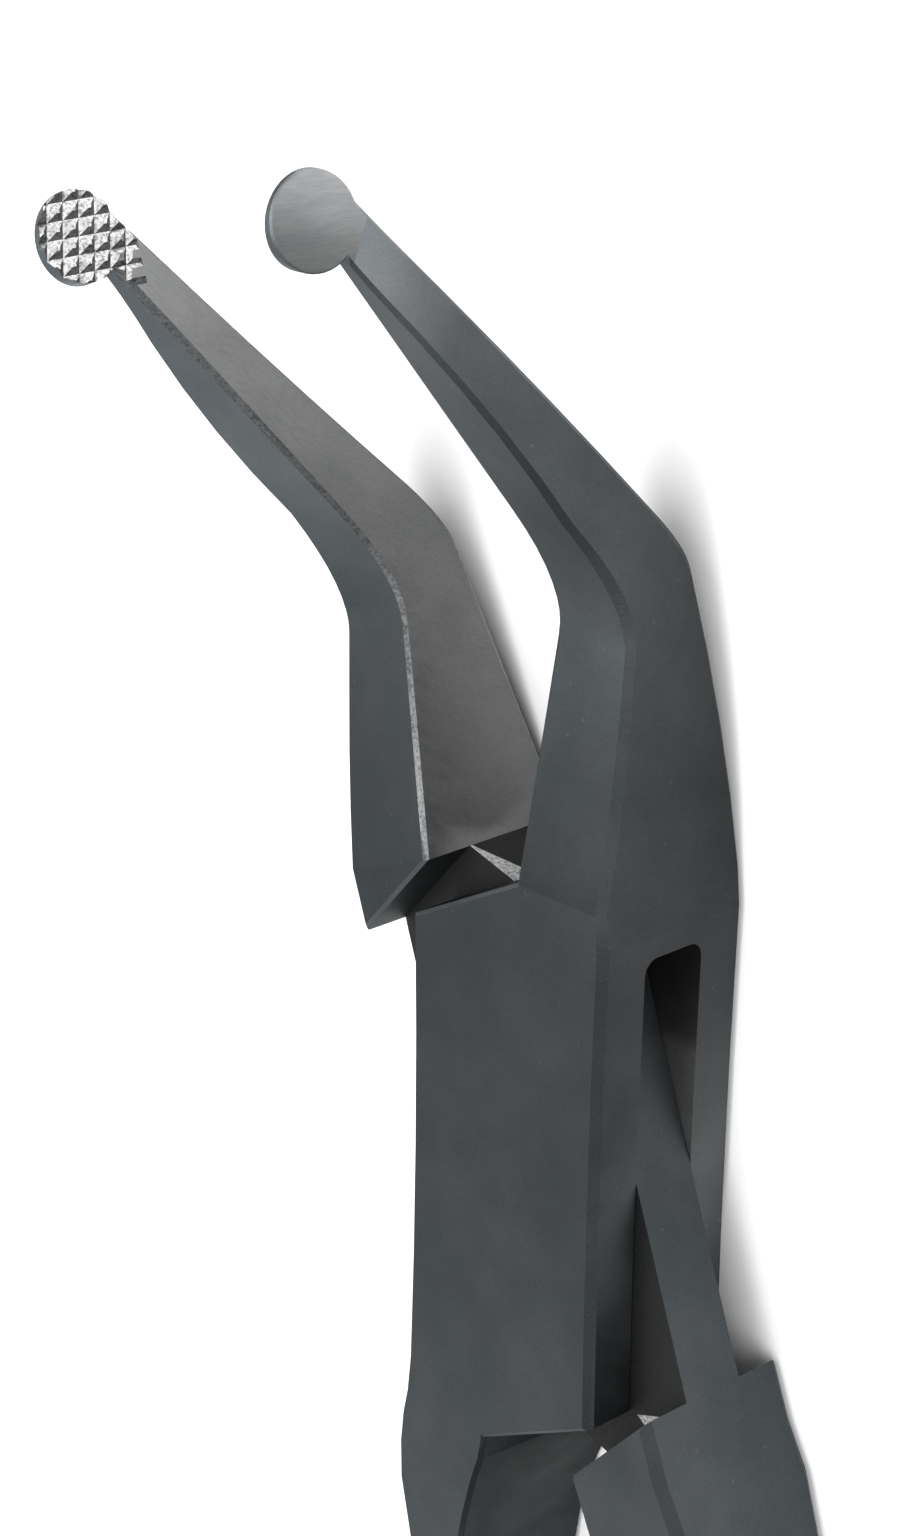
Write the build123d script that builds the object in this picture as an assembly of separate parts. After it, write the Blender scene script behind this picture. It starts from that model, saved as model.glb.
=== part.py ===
"""Box-joint pliers with two forward-bent jaws that end in thin round pads.

Millimetres. +X runs along the tool to the jaw tips, +Y to the left jaw and +Z out of the front
face. The origin is on the pivot axis, on the back face that the pliers rest on. The left jaw and
its handle are turned open by OPENING about the pivot.
"""
import os
from math import atan2, cos, radians, sin, tan

from build123d import *

os.makedirs("parts", exist_ok=True)

# Joint
THICKNESS = 6.6          # front face to back face of the box
SLOT = 2.62              # space between the two box walls
TONGUE = 2.54            # tongue that turns inside the slot
OPENING = 20.0           # degrees between the closed pliers and the modelled pose
EDGE = 0.3               # narrow bevel along the box sides and the shanks

# Outline of the box: distance from the tool axis, place along the tool. The left side is measured
# towards the handles.
NARROW = (4.45, -8.45)
WAIST = (4.83, 0.0)
WIDE = (5.5, 10.0)
JAW_ROOT = (5.42, 11.3)
WIDE_LEFT = (5.56, 9.6)
HANDLE_ROOT = (5.84, 11.3)
NOTCH = (1.19, 11.3)     # inner end of the slanted shoulder
SLOT_END = ((7.0, 8.4), (-0.6, 12.19))
SLOT_CORNER = 0.55

# Tongue half, closed. Its ends are full-thickness blocks with slanted shoulders.
CROSSING = (-0.4, 11.3)  # inner end of both shoulders
TONGUE_CORNER = (5.17, 7.9)
JAW_SHOULDER = (4.38, 8.95)
JAW_OUTER = (4.28, 11.3)
JAW_TONGUE_TOP = (4.35, 9.8)
GRIP_NARROW = (4.55, -8.45)
GRIP_SHOULDER = (4.53, 8.95)
GRIP_OUTER = (4.52, 11.3)
GRIP_TONGUE_TOP = (4.5, 9.8)
GRIP_EDGE = 0.36         # bevel along the roots of the right handle
SHOULDER_EDGE = 0.13     # fine bevel along the slanted shoulders

# Rivet
RIVET_SHANK = 1.0
RIVET_HEAD = 1.27
RIVET_FLARE = 0.7
RIVET_CLEARANCE = 0.04

# Jaw sections: rise from mid thickness and place along the tool for the front and the back edge,
# then the distance of the front and the back edge from the centre plane
BEND_FRONT = (0.43, 20.95)
BEND_BACK = (-2.1, 22.5)
BEND_INNER = (0.72, 0.42)
BEND_OUTER = (4.2, 4.2)
NECK_FRONT = (9.9, 34.2)
NECK_BACK = (9.3, 35.7)
NECK_INNER = (0.06, 0.03)
NECK_REACH = (0.87, 0.93)    # shares of the arm where its outer side comes level with the pad
NECK_BEVEL = 0.12
INNER_BEVEL = 0.16       # bevel of a jaw's inner side at the box and at the pad
NECK_INNER_BEVEL = 0.24
# Outward bulge halfway along: outer front, outer back, inner back and inner front edge
SHANK_BULGE = (0.12, 0.26, 0.0, 0.0)
ARM_BULGE = (0.6, 0.26, 0.12, 0.0)
SHANK_STATIONS = (0.0, 0.25, 0.5, 0.75)
ARM_STATIONS = (0.2, 0.4, 0.6, 0.8)
# Shares of the shank and of the arm where the rounding of the bend starts and ends
FRONT_ROUNDING = (0.83, 0.27)
BACK_ROUNDING = (0.93, 0.13)
ROUNDING_STEPS = 8

# Round pads
PAD_CENTRE = (10.2, 34.55)
PAD_RADIUS = 1.57
PAD_THICKNESS = 0.66
PAD_SLOPE = 9.0          # degrees that each pad's outer face slopes down towards the tip
PAD_INNER = 0.03         # from the centre plane to each pad face when closed
PAD_RIM = 0.12
SMOOTH_TAPER = 0.2       # bevel behind the rim of the smooth pad
TOOTHED_TAPER = 0.06     # the same on the toothed pad
GROOVE_PITCH = 0.6
GROOVE_DEPTH = 0.22
GROOVE_HALF_WIDTH = 0.24
GROOVE_COUNT = 7
GROOVE_REACH = 2.1
GROOVE_TILTS = (16.0, 90.0)

# Handle roots: inner side at the front and at the back, outer side, place along the tool
LEFT_ROOT = [
    (1.17, 1.17, 5.84, -11.3),
    (1.4, 0.66, 6.12, -12.3),
    (1.9, 1.3, 6.33, -13.6),
    (2.4, 2.1, 6.38, -15.2),
    (3.02, 3.02, 5.95, -17.7),
]
RIGHT_ROOT = [
    (-0.4, -0.4, 4.52, -11.3),
    (-0.3, -0.3, 4.78, -13.2),
    (-0.1, -0.1, 4.6, -15.3),
    (1.0, 1.0, 4.35, -17.7),
]
ROOT_INNER_EDGE = 0.16
# Handle grips: centre from the axis, place along the tool, width, depth, corner radius
GRIP = [
    (6.4, -28.0, 3.2, 6.5, 0.9),
    (9.0, -41.0, 3.9, 6.3, 1.4),
    (11.0, -54.0, 4.6, 6.1, 1.8),
    (12.0, -67.0, 5.0, 6.0, 2.0),
    (12.0, -80.0, 5.0, 5.9, 2.0),
    (11.0, -93.0, 4.8, 5.8, 2.0),
]
GRIP_END = 1.7           # rounding of the handle end

MIDDLE = THICKNESS / 2
ON_BASE = (Align.CENTER, Align.CENTER, Align.MIN)
BELOW_BASE = (Align.CENTER, Align.CENTER, Align.MAX)


def at(side, rise, along):
    """Point from its distance right of the axis, its rise from mid thickness and place along."""
    return Vector(along, -side, MIDDLE + rise)


def outline(*places):
    """Points on the resting plane from (distance right of the axis, place along) pairs."""
    return [Vector(along, -side, 0) for side, along in places]


def half_turn(points):
    """The same points after half a turn about the pivot."""
    return [Vector(-p.X, -p.Y, p.Z) for p in points]


def two_sided(right, left):
    """Face between two sides, each an arc through three points and then straight lines."""
    edges = []
    for side, other in ((right, left), (left, right)):
        edges += [ThreePointArc(*side[:3]), Polyline(*side[2:], other[0])]
    return make_face(edges)


def side_edges(block, nearest):
    """Edges along the front and back of a block's sides, further from the axis than nearest."""
    level = [e for e in block.edges() if abs((e @ 1 - e @ 0).Z) < EDGE]
    return [e for e in level if abs((e @ 0.5).Y) > nearest]


def shoulder_edges(block, start, end):
    """Front and back edges of a block along the line between two points of its outline."""
    middle = (start + end) / 2
    across = (end - start).normalized()
    level = [e for e in block.edges() if abs((e @ 1 - e @ 0).normalized().dot(across)) > 0.999]
    return [e for e in level if Vector((e @ 0.5).X, (e @ 0.5).Y, 0).sub(middle).length < EDGE]


def box_block():
    """Solid box with slanted shoulders at both ends and bevelled edges."""
    right = outline(NARROW, WAIST, WIDE, JAW_ROOT, NOTCH)
    left = half_turn(outline(NARROW, WAIST, WIDE_LEFT, HANDLE_ROOT, NOTCH))
    block = extrude(two_sided(right, left), THICKNESS)
    block = chamfer(side_edges(block, NARROW[0]), EDGE)
    shoulders = shoulder_edges(block, right[4], left[0]) + shoulder_edges(block, left[4], right[0])
    return chamfer(shoulders, SHOULDER_EDGE)


def slot():
    """Space between the box walls, open at the upper left and at the lower right."""
    right, top = outline(*SLOT_END)
    left = Vector(top.X, -right.Y, 0)
    ends = [right, top, left]
    space = extrude(make_face(Polyline(*ends, *half_turn(ends), close=True)), SLOT / 2, both=True)
    slope = (top - right).normalized()
    rounded = [e for e in space.edges() if abs((e @ 1 - e @ 0).normalized().dot(slope)) > 0.999]
    return Pos(0, 0, MIDDLE) * fillet(rounded, SLOT_CORNER)


def section(front, back, inner, outer):
    """Four corners of a section: outer front, outer back, inner back, inner front."""
    return [
        at(outer[0], *front),
        at(outer[1], *back),
        at(inner[1], *back),
        at(inner[0], *front),
    ]


def upright_section(inner_front, inner_back, outer, along):
    """Section across the full thickness at one place along the tool."""
    inner = (inner_front, inner_back)
    return section((MIDDLE, along), (-MIDDLE, along), inner, (outer, outer))


def bevelled(corners, bevels):
    """Face with every corner of the section cut off."""
    points = []
    for i, (corner, bevel) in enumerate(zip(corners, bevels)):
        for neighbour in (corners[i - 1], corners[(i + 1) % 4]):
            points.append(corner + (neighbour - corner).normalized() * bevel)
    return make_face(Polyline(*points, close=True))


def mixed(start, end, front, back=None):
    """Section between two others: the share of the way for its front and for its back edges."""
    back = front if back is None else back
    return [a + (b - a) * part for a, b, part in zip(start, end, (front, back, back, front))]


def bulged(start, end, part, bulge):
    """Section part of the way between two others, its corners moved outward by the bulge."""
    amount = 4 * part * (1 - part)
    corners = mixed(start, end, part)
    return [corner - Vector(0, out * amount, 0) for corner, out in zip(corners, bulge)]


def turned_corner(before, corner, after):
    """Sections that round the corner between two straight stretches of a jaw."""
    rows = []
    for i in range(ROUNDING_STEPS + 1):
        part = i / ROUNDING_STEPS
        rows.append(mixed(mixed(before, corner, part), mixed(corner, after, part), part))
    return rows


def pad_level(rise, along):
    """Distance of a pad's sloping outer face from the centre plane at one place."""
    heading = atan2(NECK_FRONT[0] - BEND_FRONT[0], NECK_FRONT[1] - BEND_FRONT[1])
    ahead = (along - PAD_CENTRE[1]) * cos(heading) + (rise - PAD_CENTRE[0]) * sin(heading)
    return PAD_INNER + PAD_THICKNESS - ahead * tan(radians(PAD_SLOPE))


def on_pad(corners):
    """Section with its outer side brought level with the pad's outer face."""
    level = list(corners)
    for i in (0, 1):
        level[i] = Vector(corners[i].X, -pad_level(corners[i].Z - MIDDLE, corners[i].X), corners[i].Z)
    return level


def jaw_sections(inner_root, outer_root):
    """Jaw sections from the box to the pad, close together where the jaw turns."""
    root = upright_section(inner_root, inner_root, outer_root, JAW_ROOT[1])
    bend = section(BEND_FRONT, BEND_BACK, BEND_INNER, BEND_OUTER)
    tip = on_pad(section(NECK_FRONT, NECK_BACK, NECK_INNER, NECK_INNER))
    neck, edge = [on_pad(mixed(bend, tip, reach)) for reach in NECK_REACH]
    below = mixed(root, bend, FRONT_ROUNDING[0], BACK_ROUNDING[0])
    above = mixed(bend, neck, FRONT_ROUNDING[1], BACK_ROUNDING[1])
    rows = [bulged(root, below, part, SHANK_BULGE) for part in SHANK_STATIONS]
    rows += turned_corner(below, bend, above)
    rows += [bulged(above, neck, part, ARM_BULGE) for part in ARM_STATIONS]
    return rows + turned_corner(rows[-1], neck, edge)[1:] + [tip]


def jaw(inner_root, outer_root):
    """Right jaw from the box to its pad."""
    faces = []
    for corners in jaw_sections(inner_root, outer_root):
        reach = max(0.0, (corners[0].X - BEND_FRONT[1]) / (NECK_FRONT[1] - BEND_FRONT[1]))
        plain = EDGE + (NECK_BEVEL - EDGE) * reach
        inside = INNER_BEVEL + (NECK_INNER_BEVEL - INNER_BEVEL) * reach
        faces.append(bevelled(corners, [plain, plain, plain, inside]))
    return loft(faces, ruled=True)


def pad(taper):
    """Round pad at the tip of the right jaw: a rounded outer rim and a tapered inner one."""
    face = Plane(at(PAD_INNER, *PAD_CENTRE), x_dir=(1, 0, 0), z_dir=(0, -1, 0))
    disc = extrude(face * Circle(PAD_RADIUS), 2 * PAD_THICKNESS)
    ahead = (at(0, *NECK_FRONT) - at(0, *BEND_FRONT)).normalized()
    outward = Vector(0, -1, 0) + ahead * tan(radians(PAD_SLOPE))
    outer = Plane(at(PAD_INNER + PAD_THICKNESS, *PAD_CENTRE), z_dir=outward)
    disc = split(disc, bisect_by=outer, keep=Keep.BOTTOM)
    disc = fillet(disc.faces().sort_by(Axis.Y)[0].edges(), PAD_RIM)
    return chamfer(disc.edges().sort_by(Axis.Y)[-1], taper)


def grooves():
    """Two crossed sets of V grooves in the inner face of the right pad."""
    points = (-GROOVE_HALF_WIDTH, 0), (0, -GROOVE_DEPTH), (GROOVE_HALF_WIDTH, 0)
    groove = extrude(make_face(Polyline(*points, close=True)), GROOVE_REACH, both=True)
    face = Plane(at(PAD_INNER, *PAD_CENTRE), x_dir=(0, 0, 1), z_dir=(0, 1, 0))
    cutters = []
    for tilt in GROOVE_TILTS:
        for i in range(GROOVE_COUNT):
            step = (i - (GROOVE_COUNT - 1) / 2) * GROOVE_PITCH
            cutters.append(face * Rot(0, 0, tilt) * Pos(step, 0, 0) * Rot(90, 0, 0) * groove)
    return cutters


def root_faces(root, edge):
    """Cross-sections of a right handle root, with its outer edges bevelled."""
    edges = [edge, edge, ROOT_INNER_EDGE, ROOT_INNER_EDGE]
    return [bevelled(upright_section(*row), edges) for row in root]


def grip_faces():
    """Cross-sections of a right grip, each square to the line of the grip."""
    faces = []
    for i, (side, along, width, depth, corner) in enumerate(GRIP):
        before, after = GRIP[max(i - 1, 0)], GRIP[min(i + 1, len(GRIP) - 1)]
        ahead = Vector(before[1] - after[1], after[0] - before[0], 0)
        across = Plane(at(side, depth / 2 - MIDDLE, along), x_dir=(0, 0, 1), z_dir=ahead)
        faces.append(across * RectangleRounded(depth, width, corner))
    return faces


def handle(root, edge):
    """Right handle, bowed away from the axis, with its back on the resting plane."""
    sections = grip_faces()
    grip = loft(sections)
    end = grip.faces().sort_by(Axis.X)[0]
    return loft(root_faces(root, edge) + sections[:1], ruled=True) + fillet(end.edges(), GRIP_END)


def rivet(shank):
    """Pin with both ends flared out to the flush faces."""
    flare = Cone(shank, RIVET_HEAD, RIVET_FLARE, align=BELOW_BASE)
    body = Cylinder(shank, THICKNESS, align=ON_BASE)
    return body + Pos(0, 0, THICKNESS) * flare + mirror(flare, Plane.XY)


def box_half():
    """Right jaw, box and left handle."""
    whole = box_block() - slot() + jaw(NOTCH[0], JAW_ROOT[0]) + pad(SMOOTH_TAPER)
    return whole + mirror(handle(LEFT_ROOT, EDGE), Plane.XZ) - rivet(RIVET_SHANK)


def tongue():
    """Thin plate between the box walls, reaching into the full-thickness ends."""
    crossing, top = (-CROSSING[0], CROSSING[1]), (-JAW_TONGUE_TOP[0], JAW_TONGUE_TOP[1])
    low_top = (-GRIP_TONGUE_TOP[0], GRIP_TONGUE_TOP[1])
    right = outline(GRIP_NARROW, WAIST, TONGUE_CORNER, crossing, top)
    left = half_turn(outline(NARROW, WAIST, TONGUE_CORNER, crossing, low_top))
    return Pos(0, 0, MIDDLE) * extrude(two_sided(right, left), TONGUE / 2, both=True)


def shoulder_block(shoulder, outer, edge):
    """Full-thickness end of the tongue half, at the upper left."""
    ring = outline(shoulder, outer, CROSSING)
    block = extrude(make_face(Polyline(*ring, close=True)), THICKNESS)
    block = chamfer(side_edges(block, JAW_OUTER[0] - EDGE), edge)
    return mirror(chamfer(shoulder_edges(block, ring[0], ring[2]), SHOULDER_EDGE), Plane.XZ)


def tongue_half():
    """Left jaw, tongue and right handle, turned open about the pivot."""
    upper = shoulder_block(JAW_SHOULDER, JAW_OUTER, EDGE)
    lower = Rot(0, 0, 180) * shoulder_block(GRIP_SHOULDER, GRIP_OUTER, GRIP_EDGE)
    left_jaw = mirror(jaw(CROSSING[0], JAW_OUTER[0]) + pad(TOOTHED_TAPER), Plane.XZ)
    whole = tongue() + upper + lower + left_jaw + handle(RIGHT_ROOT, GRIP_EDGE)
    for cutter in grooves():
        whole = whole - mirror(cutter, Plane.XZ)
    bore = Cylinder(RIVET_SHANK + RIVET_CLEARANCE, THICKNESS, align=ON_BASE)
    return Rot(0, 0, OPENING) * (whole - bore)


export_step(box_half(), "parts/box_half.step")
export_step(tongue_half(), "parts/tongue_half.step")
export_step(rivet(RIVET_SHANK), "parts/pivot_pin.step")
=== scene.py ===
import math

import bmesh
import bpy
from mathutils import Matrix, Vector


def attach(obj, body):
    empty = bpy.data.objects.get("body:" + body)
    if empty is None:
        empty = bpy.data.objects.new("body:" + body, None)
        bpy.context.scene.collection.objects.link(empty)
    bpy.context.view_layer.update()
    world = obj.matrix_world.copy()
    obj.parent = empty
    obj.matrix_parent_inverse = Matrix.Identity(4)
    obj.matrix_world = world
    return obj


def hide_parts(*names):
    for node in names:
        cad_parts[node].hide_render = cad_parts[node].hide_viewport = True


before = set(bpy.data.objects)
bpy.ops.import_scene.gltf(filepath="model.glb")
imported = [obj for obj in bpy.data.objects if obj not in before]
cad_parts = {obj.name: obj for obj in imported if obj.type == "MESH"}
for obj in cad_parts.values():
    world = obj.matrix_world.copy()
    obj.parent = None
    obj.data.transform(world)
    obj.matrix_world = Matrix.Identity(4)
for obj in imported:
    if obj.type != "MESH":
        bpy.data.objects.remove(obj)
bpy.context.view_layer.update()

MM = 0.001

# Places in the frame, millimetres
MIDDLE = 3.3                 # mid thickness of the pliers
OPENING = math.radians(20)   # the left jaw stands open by this much
PAD_ALONG = 34.55            # pad centre along the tool
PAD_UP = 13.5                # pad centre above the resting plane
PAD_RADIUS = 1.57
JAW_FROM = 11.4              # the jaws start here, along the tool
LEFT_JAW_FROM = JAW_FROM - 0.2
HANDLE_FROM = -11.3          # the handles start here, along the tool
SHOULDERS = (8.0, 12.6)      # the slanted shoulders lie this far from the pivot, along the tool
SLOT_HALF = 1.4              # a little over half the space between the box walls
SLOT_SIDE = 5                # the slot's faces are nearer than this to the centre plane
SLOT_REACH = 12              # and nearer than this to the pivot, along the tool
TONGUE_HALF = 1.32           # a little over half the tongue's thickness
TONGUE_REACH = 9.5           # the tongue's sides are nearer than this to the pivot
TONGUE_END = (9, 12.5)       # the tongue's upper end lies between these, along the tool
PAD_MARGIN = 0.1             # the pad's finish reaches this far past its rim
RIM = 0.05                   # the flat tops of the teeth stop this far inside the rim
TOOTH_LEVEL = 0.2            # they lie nearer than this to the centre plane when closed
GROOVE_LEVEL = 0.6           # and the groove walls nearer than this
GROOVE_RUN = 1.0             # the grooves run this far past the rim

# Directions
ALONG_TOOL = (1, 0, 0)
UPWARD = (0, 0, 1)
ALONG_ARM = (0.62, 0, 0.78)     # up the raised part of each jaw
PAD_BRUSHING = (0.03, 0, 1)     # scratches across the smooth pad
PAD_LIGHT_DIRECTION = (0.97, 0, -0.25)     # the smooth pad is painted lighter this way, as painted light
GROOVES_ACROSS = Vector((0.276, 0, 0.961)), Vector((1, 0, 0))     # one for each set of grooves
SHADED_WALLS = Vector((-0.94, 0, -0.76))     # groove walls that face this way get painted shade

# Shares of a face's normal along a direction
LEANS = 0.3                  # the face leans a little that way
RIM_LEANS = 0.4              # the same at the rim of the smooth pad
TURNED = 0.5                 # it is turned that way
FACES = 0.6                  # it mostly faces that way
SQUARE = 0.8                 # it faces nearly straight that way
STRAIGHT = 0.9               # it faces straight that way
TOOTH_TOP = 0.95             # the same for the flat tops of the teeth
LINE_LEAN = (-0.88, -0.36)   # leftward share at the bevel that runs along each jaw
LINE_AHEAD = 0.45            # and the largest share ahead there
WALL_LEAN = (-0.85, -0.6)    # leftward share at the walls of the grooves
ACROSS_GROOVE = 0.98         # least share of the rest that lies across the grooves

# Meshes and shading
WELD = 0.002 * MM            # corners closer than this are one corner
FLAT = math.radians(0.4)     # faces that meet at less than this are one face
SHARP = math.radians(19)     # folds sharper than this stay crisp
STOP_SCALE = 4.0             # factors are stored divided by this
TORN_FACET = [(-8.42, -4.8), (-8.9, -5.4), (-7.95, -6.1)]     # corners of the torn facet, (x, y)
FACET_FADE = 0.05            # the facet ends over this width
STRIP_TOP = 4.6              # upper edge of the torn strip on the tongue's end
STRIP_START = 3.7            # the strip starts this far left of the axis
STRIP_FLARE = 0.38           # and gets this much deeper with each millimetre to the right
STRIP_FADE = 0.07            # the strip ends over this depth


# ---------------------------------------------------------------- shader building
class Shader:
    """A material built from nodes. Inputs may be plain values or other nodes' outputs."""

    def __init__(self, name):
        self.material = bpy.data.materials.new(name)
        self.material.use_nodes = True
        self.tree = self.material.node_tree
        self.tree.nodes.clear()
        texture = self.tree.nodes.new("ShaderNodeTexCoord")
        self.place = self.scaled(texture.outputs["Object"], (1 / MM,) * 3)

    def set(self, socket, value):
        """Links another node's output to the socket, or sets its value."""
        if isinstance(value, bpy.types.NodeSocket):
            self.tree.links.new(value, socket)
        else:
            socket.default_value = value

    def node(self, kind, inputs=(), **settings):
        """A node with its settings and its inputs, given as (name or number, value) pairs."""
        made = self.tree.nodes.new("ShaderNode" + kind)
        for name, value in settings.items():
            setattr(made, name, value)
        for name, value in inputs:
            self.set(made.inputs[name], value)
        return made

    def math(self, operation, *values):
        """Result of one sum on numbers."""
        return self.node("Math", enumerate(values), operation=operation).outputs[0]

    def scaled(self, vector, scale):
        """Vector with each part multiplied by its own factor."""
        made = self.node("VectorMath", [(0, vector), (1, scale)], operation="MULTIPLY")
        return made.outputs[0]

    def along(self, direction):
        """Millimetres along a direction, as a number."""
        inputs = [(0, self.place), (1, direction)]
        return self.node("VectorMath", inputs, operation="DOT_PRODUCT").outputs["Value"]

    def noise(self, size, detail=2.0, rough=0.5, vector=None, stretch=(1, 1, 1)):
        """Soft noise from 0 to 1 whose spots are about size millimetres across."""
        place = self.scaled(vector or self.place, tuple(s / size for s in stretch))
        inputs = [("Vector", place), ("Scale", 1.0), ("Detail", detail), ("Roughness", rough)]
        return self.node("TexNoise", inputs).outputs["Fac"]

    def ramp(self, value, low, high, start=0.0, end=1.0):
        """Smooth step from start to end as the value goes from low to high."""
        inputs = [("Value", value), ("From Min", low), ("From Max", high)]
        inputs += [("To Min", start), ("To Max", end)]
        made = self.node("MapRange", inputs, interpolation_type="SMOOTHSTEP")
        return made.outputs["Result"]

    def stops(self, value, places):
        """A factor that follows (value, factor) stops in a smooth line."""
        low, high = places[0][0], places[-1][0]
        share = self.node("MapRange", [("Value", value), ("From Min", low), ("From Max", high)])
        made = self.node("ValToRGB", [("Fac", share.outputs["Result"])])
        ramp = made.color_ramp
        ramp.interpolation = "B_SPLINE"
        for place, _ in places[1:-1]:
            ramp.elements.new((place - low) / (high - low))
        for stop, (_, factor) in zip(ramp.elements, places):
            level = factor / STOP_SCALE
            stop.color = (level, level, level, 1.0)
        return self.math("MULTIPLY", made.outputs["Color"], STOP_SCALE)

    def blend(self, share, first, second):
        """Mix of two colours."""
        made = self.node("Mix", data_type="RGBA")
        for socket, value in zip((0, 6, 7), (share, first, second)):
            self.set(made.inputs[socket], value)
        return made.outputs[2]

    def tint(self, colour, amount):
        """Colour made lighter or darker by a factor."""
        made = self.node("VectorMath", [(0, colour)], operation="SCALE")
        self.set(made.inputs["Scale"], amount)
        return made.outputs[0]

    def product(self, first, *others):
        """All the numbers multiplied together."""
        for other in others:
            first = self.math("MULTIPLY", first, other)
        return first

    def bump(self, height, depth):
        """Normal of a surface raised by height times depth in millimetres."""
        inputs = [("Strength", 1.0), ("Distance", depth * MM), ("Height", height)]
        return self.node("Bump", inputs).outputs["Normal"]

    def finish(self, colour, rough, normal, metallic=1.0):
        """The finished material, a metal unless metallic says otherwise."""
        inputs = [("Base Color", colour), ("Roughness", rough), ("Metallic", metallic)]
        inputs.append(("Normal", normal))
        surface = self.node("BsdfPrincipled", inputs)
        self.node("OutputMaterial", [("Surface", surface.outputs[0])])
        return self.material


# ---------------------------------------------------------------- steels
def grey(level, warmth=0.0):
    """Metal colour from a linear level; warmth shifts it from blue to red."""
    return (level * (1 + warmth), level, level * (1 - 0.6 * warmth), 1.0)


def blasted(name, dark, light, rough=0.55, grain=1.0, along=None, places=None):
    """Bead-blasted steel: even fine grain, faint cool and warm patches, a few tiny specks.

    places paints light and shade: how much lighter or darker the steel gets along one direction.
    """
    steel = Shader(name)
    patches = steel.ramp(steel.noise(7.0, detail=3.0), 0.35, 0.65)
    colour = steel.blend(patches, dark, light)
    marks = steel.ramp(steel.noise(1.6, detail=4.0, rough=0.6), 0.3, 0.7, 0.96, 1.04)
    fine = steel.noise(0.07, detail=1.0)
    grains = steel.ramp(fine, 0.25, 0.75, 0.93, 1.07)
    specks = steel.ramp(steel.noise(0.2, detail=0.0), 0.83, 0.86, 1.0, 1.35)
    amount = steel.product(marks, grains, specks)
    if places:
        amount = steel.product(amount, steel.stops(steel.along(along), places))
    sheen = steel.ramp(steel.noise(2.4, detail=3.0), 0.3, 0.7, rough - 0.04, rough + 0.05)
    coarse = steel.noise(0.16, detail=2.0)
    height = steel.math("ADD", fine, steel.math("MULTIPLY", coarse, 0.6))
    return steel.finish(steel.tint(colour, amount), sheen, steel.bump(height, 0.004 * grain))


def brushed(name, direction, dark, light, rough, along, places):
    """Ground steel with fine scratches running along one direction.

    places paints light and shade: how much lighter or darker the steel gets along another
    direction.
    """
    steel = Shader(name)
    away = Vector(direction).normalized()
    side = away.orthogonal().normalized()
    axes = [steel.along(tuple(axis)) for axis in (away, side, away.cross(side))]
    turned = steel.node("CombineXYZ", enumerate(axes)).outputs[0]
    scratches = steel.noise(0.05, detail=2.0, vector=turned, stretch=(0.04, 1, 1))
    streaks = steel.noise(0.4, detail=3.0, vector=turned, stretch=(0.1, 1, 1))
    clouds = steel.ramp(steel.noise(2.0, detail=2.0), 0.3, 0.7, 0.95, 1.05)
    colour = steel.blend(steel.ramp(streaks, 0.3, 0.7), dark, light)
    lines = steel.ramp(scratches, 0.25, 0.75, 0.92, 1.08)
    amount = steel.product(lines, clouds, steel.stops(steel.along(along), places))
    sheen = steel.ramp(streaks, 0.3, 0.7, rough - 0.05, rough + 0.06)
    return steel.finish(steel.tint(colour, amount), sheen, steel.bump(scratches, 0.003))


def bare(name, dark, light, rough=0.3, pitting=1.0, along=None, places=None):
    """Bright bare steel with a torn, chattered surface and dark smuts in the lows."""
    steel = Shader(name)
    torn = steel.noise(0.11, detail=3.0, rough=0.65)
    smut = steel.noise(0.3, detail=2.0)
    colour = steel.blend(steel.ramp(torn, 0.34, 0.56), dark, light)
    amount = steel.ramp(smut, 0.3, 0.6, 0.85, 1.08)
    # places paints light and shade along one direction
    if places:
        amount = steel.product(amount, steel.stops(steel.along(along), places))
    sheen = steel.ramp(torn, 0.3, 0.7, rough + 0.12, rough - 0.05)
    return steel.finish(steel.tint(colour, amount), sheen, steel.bump(torn, 0.012 * pitting))


def torn(name, spread):
    """Steel of the tongue painted dark as shade, with bright torn metal where spread, from 0 to
    1, puts it.
    """
    steel = Shader(name)
    ragged = steel.noise(0.14, detail=3.0, rough=0.65)
    # painted shade: the tongue's steel darkened where it lies inside the box
    painted_shade = steel.blend(steel.noise(5.0, detail=3.0), grey(0.026, -0.05), grey(0.034, 0.0))
    bright = steel.blend(steel.ramp(ragged, 0.3, 0.6), grey(0.20, -0.02), grey(0.55, 0.0))
    colour = steel.blend(spread(steel), painted_shade, bright)
    amount = steel.ramp(steel.noise(0.07, detail=1.0), 0.25, 0.75, 0.93, 1.07)
    sheen = steel.ramp(ragged, 0.3, 0.7, 0.55, 0.65)
    return steel.finish(steel.tint(colour, amount), sheen, steel.bump(ragged, 0.006))


def inside(steel, corners):
    """1 inside a polygon given by its (x, y) corners anticlockwise, 0 outside."""
    share = 1.0
    for (x, y), (next_x, next_y) in zip(corners, corners[1:] + corners[:1]):
        length = math.hypot(next_x - x, next_y - y)
        inward = ((y - next_y) / length, (next_x - x) / length, 0.0)
        limit = inward[0] * x + inward[1] * y
        within = steel.ramp(steel.along(inward), limit, limit + FACET_FADE)
        share = steel.math("MULTIPLY", share, within)
    return share


def corner_facet(steel):
    """Three-cornered facet at the foot of the lower block."""
    return inside(steel, TORN_FACET)


def end_strip(steel):
    """Strip under the top edge of the tongue's upper end, wider towards the right jaw."""
    depth = steel.math("SUBTRACT", STRIP_TOP, steel.along(UPWARD))
    across = steel.math("SUBTRACT", STRIP_START, steel.along((0, 1, 0)))
    width = steel.math("MULTIPLY", across, STRIP_FLARE)
    return steel.ramp(steel.math("SUBTRACT", depth, width), 0.0, STRIP_FADE, 1.0, 0.0)


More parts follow.
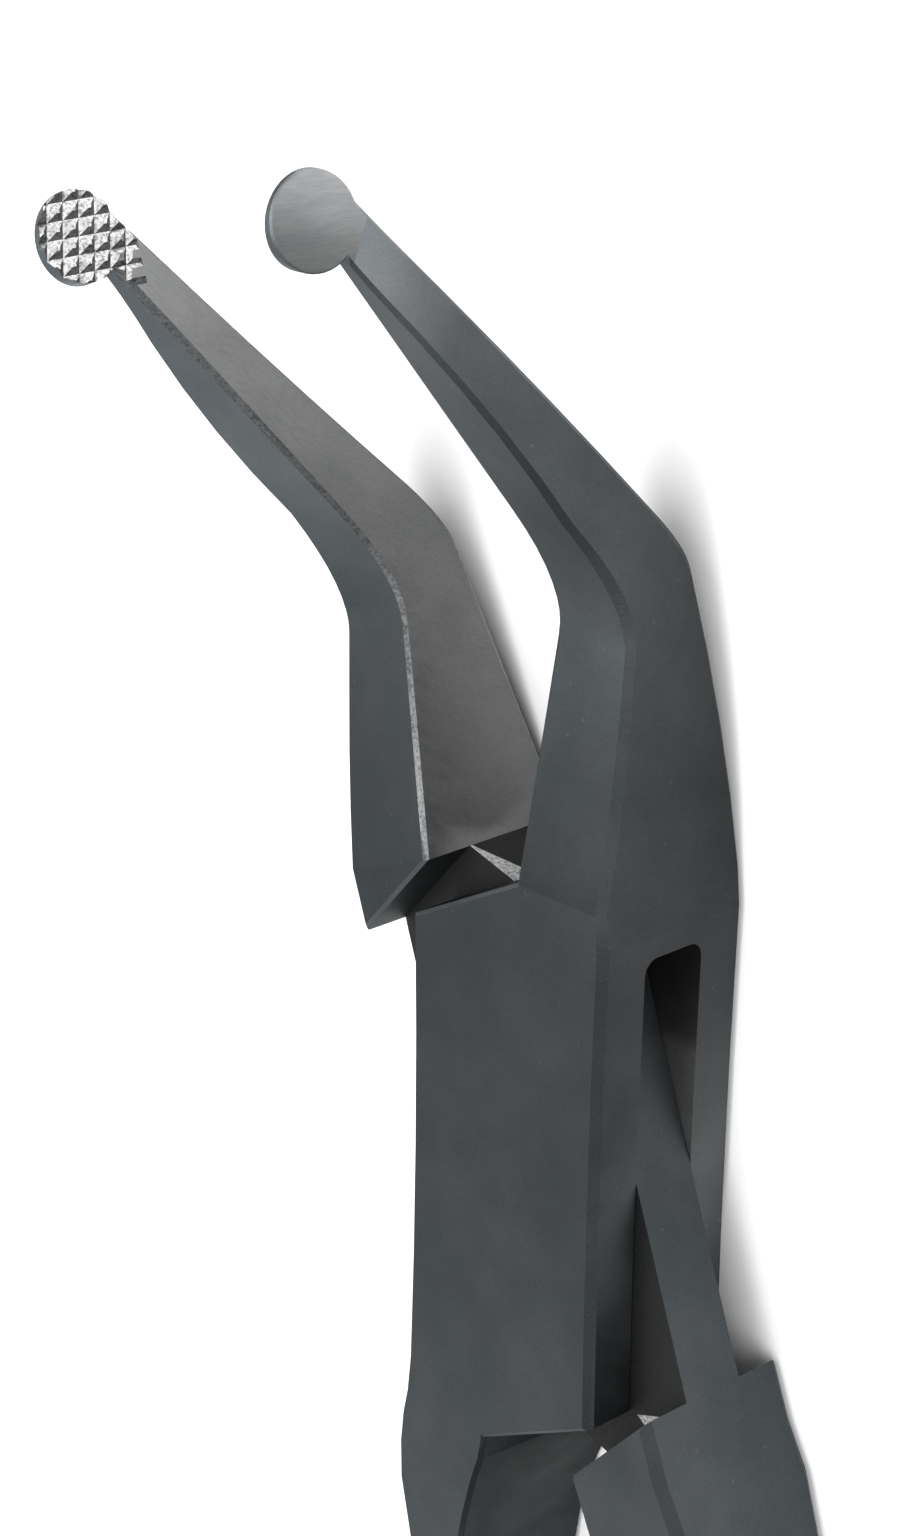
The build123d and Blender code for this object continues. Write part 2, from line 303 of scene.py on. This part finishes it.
# ---------------------------------------------------------------- meshes
def welded(node):
    """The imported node's mesh as one closed surface, its flat faces whole."""
    bm = bmesh.new()
    bm.from_mesh(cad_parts[node].data)
    bmesh.ops.remove_doubles(bm, verts=bm.verts, dist=WELD)
    bmesh.ops.dissolve_limit(bm, angle_limit=FLAT, verts=bm.verts, edges=bm.edges)
    return bm


def smooth(piece):
    """Smooth shading with sharp folds kept crisp."""
    for polygon in piece.data.polygons:
        polygon.use_smooth = True
    piece.data.set_sharp_from_angle(angle=SHARP)
    weighted = piece.modifiers.new("even_shading", "WEIGHTED_NORMAL")
    weighted.keep_sharp = True


def refined(node, name, body, materials, pick):
    """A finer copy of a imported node: each face takes the material whose name pick gives."""
    bm = welded(node)
    order = list(materials)
    for face in bm.faces:
        chosen = pick(face.calc_center_median() / MM, face.normal.copy())
        face.material_index = order.index(chosen)
    mesh = bpy.data.meshes.new(name)
    bm.to_mesh(mesh)
    bm.free()
    for material in materials.values():
        mesh.materials.append(material)
    piece = bpy.data.objects.new(name, mesh)
    bpy.context.scene.collection.objects.link(piece)
    smooth(piece)
    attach(piece, body)
    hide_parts(node)


# ---------------------------------------------------------------- materials
# Colours of the body's steel
BODY_DARK, BODY_LIGHT = grey(0.050, -0.13), grey(0.060, -0.10)

# Stops of painted light and shade along the tool, as (millimetres, how many times lighter):
# lighter handles and darker box on the body, painted shade where the handles meet and in the
# box's slot
BODY_PAINTED_LIGHT = [(-30, 1.2), (-15, 1.25), (-10, 1.15), (-5, 1.05), (0, 0.90), (12, 0.86)]
POCKET_PAINTED_SHADE = [(-34, 1.2), (-26, 0.95), (-19, 0.6), (-14, 0.40), (-11, 0.40)]
SLOT_PAINTED_SHADE = [(-8, 2.2), (0, 2.2), (3, 5.0), (4.6, 5.4), (5.4, 1.2), (8, 0.8)]

# Stops of painted light across the smooth pad, and up the left jaw's outer side
PAD_PAINTED_LIGHT = [(28.2, 0.50), (29.4, 0.64), (30.4, 1.10), (31.8, 1.80)]
LEFT_SIDE_PAINTED_LIGHT = [(7, 1.0), (13, 1.5)]

# Stops of painted light and shade up the arms, for each side of the right jaw and then of the
# left one
RIGHT_SIDE_PAINTED_LIGHT = [
    (-12, 1.2), (-3, 1.8), (1.2, 1.7), (4.5, 0.75), (8, 0.58), (12, 0.70), (15, 0.8),
    (18, 1.1), (22, 1.3), (26, 1.38), (28, 1.9), (30.3, 3.6), (32, 3.9),
]
RIGHT_FRONT_PAINTED_LIGHT = [(9, 0.60), (12, 0.66), (14.5, 0.98), (16.5, 1.6), (20, 1.45), (33, 1.9)]
RIGHT_LINE_PAINTED_LIGHT = [
    (0, 0.85), (5, 0.72), (9, 0.6), (13, 0.66), (16.5, 0.76), (22, 0.78), (33, 1.2),
]
RIGHT_INNER_PAINTED_LIGHT = [(11, 0.7), (33, 1.2)]
LEFT_INNER_PAINTED_LIGHT = [
    (9, 0.85), (12, 0.74), (14, 0.62), (17, 0.80), (24, 0.86), (28, 1.08), (32, 1.6),
]
LEFT_FRONT_PAINTED_LIGHT = [(9, 0.82), (12.5, 1.0), (14.5, 1.2), (16, 1.9), (20, 2.4), (33, 2.7)]
LEFT_LINE_PAINTED_LIGHT = [(9, 1.5), (11.5, 2.0), (13.2, 1.0), (14.5, 0.50), (20, 0.50), (33, 0.65)]


def body_steel(name, rough=0.55, grain=1.0, along=ALONG_ARM, places=None):
    """Blasted steel in the colour of the body."""
    return blasted(name, BODY_DARK, BODY_LIGHT, rough, grain, along, places)


def shared_steels(side):
    """Materials that both halves have."""
    return {
        # body: painted lighter along the handles and darker at the box
        "body": body_steel("blasted_" + side, along=ALONG_TOOL, places=BODY_PAINTED_LIGHT),
        # pocket: painted shade on the handles' inner sides where they meet near the box
        "shaded_pocket": body_steel("pocket_" + side, 0.6, along=ALONG_TOOL, places=POCKET_PAINTED_SHADE),
        # edge: lighter steel on the shoulder bevels, a painted highlight
        "highlit_bevel": blasted("edge_" + side, grey(0.11, -0.1), grey(0.14, -0.08), 0.5),
    }


def right_pad():
    """Ground steel of the smooth pad, with painted light across it."""
    dark, light = grey(0.15, -0.03), grey(0.18, -0.02)
    return brushed("pad_right", PAD_BRUSHING, dark, light, 0.45, PAD_LIGHT_DIRECTION, PAD_PAINTED_LIGHT)


def inner_steel(name, dark, light, places):
    """Ground steel of a jaw's inner side, scratched along the arm, with painted light and shade
    up the arm.
    """
    return brushed(name, ALONG_ARM, dark, light, 0.5, ALONG_ARM, places)


def right_steels():
    """Materials of the right jaw, the box and the left handle."""
    slot_shade_dark, slot_shade_light = grey(0.026, -0.05), grey(0.034)
    side_dark, side_light = grey(0.05, -0.10), grey(0.06, -0.06)
    return shared_steels("right") | {
        # recess: the inside of the box's slot painted near black as painted shade, lightened in
        # places by stops
        "shaded_recess": blasted("shaded_recess", slot_shade_dark, slot_shade_light, 0.62, 1.0, ALONG_TOOL, SLOT_PAINTED_SHADE),
        # side and front: the body steel with painted light and shade up the arm
        "side": blasted(
            "side_right", side_dark, side_light, 0.55, 1.0, ALONG_ARM, RIGHT_SIDE_PAINTED_LIGHT
        ),
        "front": body_steel("front_right", places=RIGHT_FRONT_PAINTED_LIGHT),
        # line: bevel along the jaw with coarser grain, painted darker as shade
        "line": body_steel("line_right", 0.6, 3.0, places=RIGHT_LINE_PAINTED_LIGHT),
        "inner": inner_steel("inner_right", grey(0.16), grey(0.18), RIGHT_INNER_PAINTED_LIGHT),
        "pad": right_pad(),
    }


def left_steels():
    """Materials of the left jaw, the tongue and the right handle."""
    # bare steel of the worn bevel, which its stops paint with light and shade up the arm
    worn_and_shaded_dark, worn_and_shaded_light = grey(0.11, -0.04), grey(0.18, -0.03)
    inner_dark, inner_light = grey(0.175, -0.02), grey(0.195)
    return shared_steels("left") | {
        # recess and end: the tongue inside the box in painted shade, with bright torn metal on a
        # facet and a strip
        "shaded_recess": torn("recess_left", corner_facet),
        "end": torn("tongue_end", end_strip),
        # side: painted lighter upwards; front: painted light and shade up the arm
        "side": body_steel("side_left", along=UPWARD, places=LEFT_SIDE_PAINTED_LIGHT),
        "front": body_steel("front_left", places=LEFT_FRONT_PAINTED_LIGHT),
        # line: rough bare steel on the bevel, with painted light and shade up the arm
        "line": bare(
            "line_left", worn_and_shaded_dark, worn_and_shaded_light, 0.5, 0.8, ALONG_ARM, LEFT_LINE_PAINTED_LIGHT
        ),
        "inner": inner_steel("inner_left", inner_dark, inner_light, LEFT_INNER_PAINTED_LIGHT),
        # teeth: bright steel on the tooth tops and painted light on the groove walls turned to
        # the light
        "teeth": bare("teeth", grey(0.22), grey(0.62, 0.01), 0.35),
        # groove: painted shade on the groove walls
        "shaded_groove": bare("groove_walls", grey(0.03), grey(0.08), 0.5),
        # stripe: painted shade on the lower block's bevel, with coarser grain
        "shaded_stripe": blasted("shaded_stripe", grey(0.030, -0.1), grey(0.037, -0.08), 0.6, 2.0),
    }


# ---------------------------------------------------------------- faces
def pad_distance(place):
    """How far a place is from the pad's axis."""
    return math.hypot(place.x - PAD_ALONG, place.z - PAD_UP)


def is_line(normal):
    """True for the bevel between a jaw's front and its side towards the right."""
    return LINE_LEAN[0] < normal.y < LINE_LEAN[1] and normal.x < LINE_AHEAD


def is_shoulder(place, normal):
    """True for the fine bevel along the slanted ends of the box."""
    bevelled = FACES < abs(normal.z) < SQUARE and abs(normal.x) > TURNED
    return bevelled and SHOULDERS[0] < abs(place.x) < SHOULDERS[1]


def front_or_side(normal):
    """Material of a jaw's face that is neither its bevel, its pad nor its inner side; front and
    side carry different painted light and shade.
    """
    return "front" if normal.z > LEANS or normal.x < -LEANS else "side"


def pick_box(place, normal):
    """Material of a face of the right jaw, box and left handle."""
    # the box's slot takes painted shade
    in_slot = abs(place.z - MIDDLE) < SLOT_HALF and abs(place.y) < SLOT_SIDE
    if in_slot and abs(place.x) < SLOT_REACH:
        return "shaded_recess"
    if is_shoulder(place, normal):
        return "highlit_bevel"
    # the left handle's inner side near the box takes painted shade
    if place.x < HANDLE_FROM and normal.y < -FACES:
        return "shaded_pocket"
    if place.x < JAW_FROM:
        if is_line(normal) and normal.z > TURNED:
            return "line"
        # the box's sides take the steel with painted light and shade
        return "side" if normal.y < -STRAIGHT else "body"
    if pad_distance(place) < PAD_RADIUS + PAD_MARGIN and normal.y < -RIM_LEANS:
        return "pad"
    if normal.y > SQUARE:
        return "inner"
    if is_line(normal) and pad_distance(place) > PAD_RADIUS:
        return "line"
    if normal.y < -FACES:
        return "side"
    return front_or_side(normal)


def pick_teeth(place, normal):
    """Material of a face of the toothed pad, or None elsewhere."""
    near = pad_distance(place) < PAD_RADIUS + GROOVE_RUN and place.y < GROOVE_LEVEL
    across = max(abs(normal.dot(direction)) for direction in GROOVES_ACROSS)
    sloped = WALL_LEAN[0] < normal.y < WALL_LEAN[1]
    if near and sloped and across > ACROSS_GROOVE * math.hypot(normal.x, normal.z):
        # walls facing the shaded direction take painted shade, the rest take the bright teeth
        # steel as painted light
        return "shaded_groove" if SHADED_WALLS.dot(normal) > LEANS else "teeth"
    on_top = pad_distance(place) < PAD_RADIUS - RIM and place.y < TOOTH_LEVEL
    if on_top and normal.y < -TOOTH_TOP:
        return "teeth"
    return None


def pick_tongue(place, normal):
    """Material of a face of the left jaw, tongue and right handle."""
    place, normal = closed(place), closed(normal)
    in_tongue = abs(place.z - MIDDLE) < TONGUE_HALF
    if in_tongue and normal.x > SQUARE and TONGUE_END[0] < place.x < TONGUE_END[1]:
        return "end"
    if in_tongue and abs(place.x) < TONGUE_REACH:
        # tongue faces inside the box that turn away from the window take painted shade
        return "body" if normal.y < -TURNED else "shaded_recess"
    if is_shoulder(place, normal):
        return "highlit_bevel"
    # the right handle's inner side near the box takes painted shade
    if place.x < HANDLE_FROM and normal.y > FACES:
        return "shaded_pocket"
    # the lower block's bevel takes painted shade
    if place.x < -SHOULDERS[0] and normal.z > TURNED and normal.y < -TURNED:
        return "shaded_stripe"
    if place.x < LEFT_JAW_FROM:
        return "body"
    toothed = pick_teeth(place, normal)
    if toothed:
        return toothed
    if is_line(normal):
        return "line"
    if normal.y < -SQUARE:
        return "inner"
    if normal.y > FACES:
        return "side"
    return front_or_side(normal)


def pick_rivet(place, normal):
    """Material of every face of the rivet."""
    return "rivet"


def closed(vector):
    """A place or direction on the left jaw, turned back to the closed pose."""
    return Matrix.Rotation(-OPENING, 3, "Z") @ vector


# ---------------------------------------------------------------- pieces
rivet_steels = {"rivet": blasted("rivet_face", grey(0.050, -0.11), grey(0.056, -0.08), 0.53)}
refined("box_half", "right_jaw_box", "box_body", right_steels(), pick_box)
refined(
    "tongue_half", "left_jaw_tongue", "tongue_body", left_steels(), pick_tongue
)
refined("pivot_pin", "rivet", "box_body", rivet_steels, pick_rivet)


# ---------------------------------------------------------------- studio
FLOOR_REACH = 0.9            # metres from the floor's middle to its edges
FLOOR_CELLS = 8
LIT_PLACE = (0.01, 0, 0)     # the lamps point here, metres
WORLD_STRENGTH = 0.75

CAMERA_PLACE = Vector((53.31, -77.40, 72.92))     # millimetres
CAMERA_RIGHT = Vector((-0.02494, -0.65072, -0.75892))
CAMERA_UP = Vector((0.93617, 0.25106, -0.24600))
CAMERA_LENS = 76.43          # focal length, millimetres
CAMERA_SENSOR = 36           # width of the sensor, millimetres
CAMERA_CLIP = (0.005, 5)     # nearest and farthest seen, metres


def floor():
    """Plain pale floor."""
    bm = bmesh.new()
    bmesh.ops.create_grid(
        bm, x_segments=FLOOR_CELLS, y_segments=FLOOR_CELLS, size=FLOOR_REACH
    )
    mesh = bpy.data.meshes.new("floor")
    bm.to_mesh(mesh)
    bm.free()
    piece = bpy.data.objects.new("floor", mesh)
    bpy.context.scene.collection.objects.link(piece)
    paint = Shader("floor_paint")
    level = paint.ramp(paint.noise(60.0), 0.3, 0.7, 0.90, 0.92)
    colour = paint.tint((1.0, 1.0, 1.0), level)
    uneven = paint.bump(paint.noise(1.0), 0.01)
    mesh.materials.append(paint.finish(colour, 0.9, uneven, metallic=0.0))


def light(name, place, size, power):
    """White square lamp, its size and place in metres and its power in watts."""
    lamp = bpy.data.lights.new(name, "AREA")
    lamp.shape = "RECTANGLE"
    lamp.size = size
    lamp.size_y = size
    lamp.energy = power
    holder = bpy.data.objects.new(name, lamp)
    holder.location = place
    aim = Vector(LIT_PLACE) - Vector(place)
    holder.rotation_euler = aim.to_track_quat("-Z", "Y").to_euler()
    bpy.context.scene.collection.objects.link(holder)


def camera():
    """Close view from above the right jaw, with the tool's long axis upright."""
    data = bpy.data.cameras.new("camera")
    data.sensor_width = CAMERA_SENSOR
    data.lens = CAMERA_LENS
    data.clip_start, data.clip_end = CAMERA_CLIP
    holder = bpy.data.objects.new("camera", data)
    back = CAMERA_RIGHT.cross(CAMERA_UP)
    turn = Matrix((CAMERA_RIGHT, CAMERA_UP, back)).transposed().to_4x4()
    holder.matrix_world = Matrix.Translation(CAMERA_PLACE * MM) @ turn
    bpy.context.scene.collection.objects.link(holder)
    bpy.context.scene.camera = holder


def surroundings():
    """Even white light from all sides."""
    world = bpy.data.worlds.new("studio")
    world.use_nodes = True
    background = world.node_tree.nodes["Background"]
    background.inputs["Color"].default_value = (1, 1, 1, 1)
    background.inputs["Strength"].default_value = WORLD_STRENGTH
    bpy.context.scene.world = world


floor()
surroundings()
light("key", (0.07, 0.05, 0.75), 1.0, 8.0)
light("fill", (0.05, -0.45, 0.30), 0.40, 1.5)
camera()
bpy.context.scene.view_settings.view_transform = "Standard"
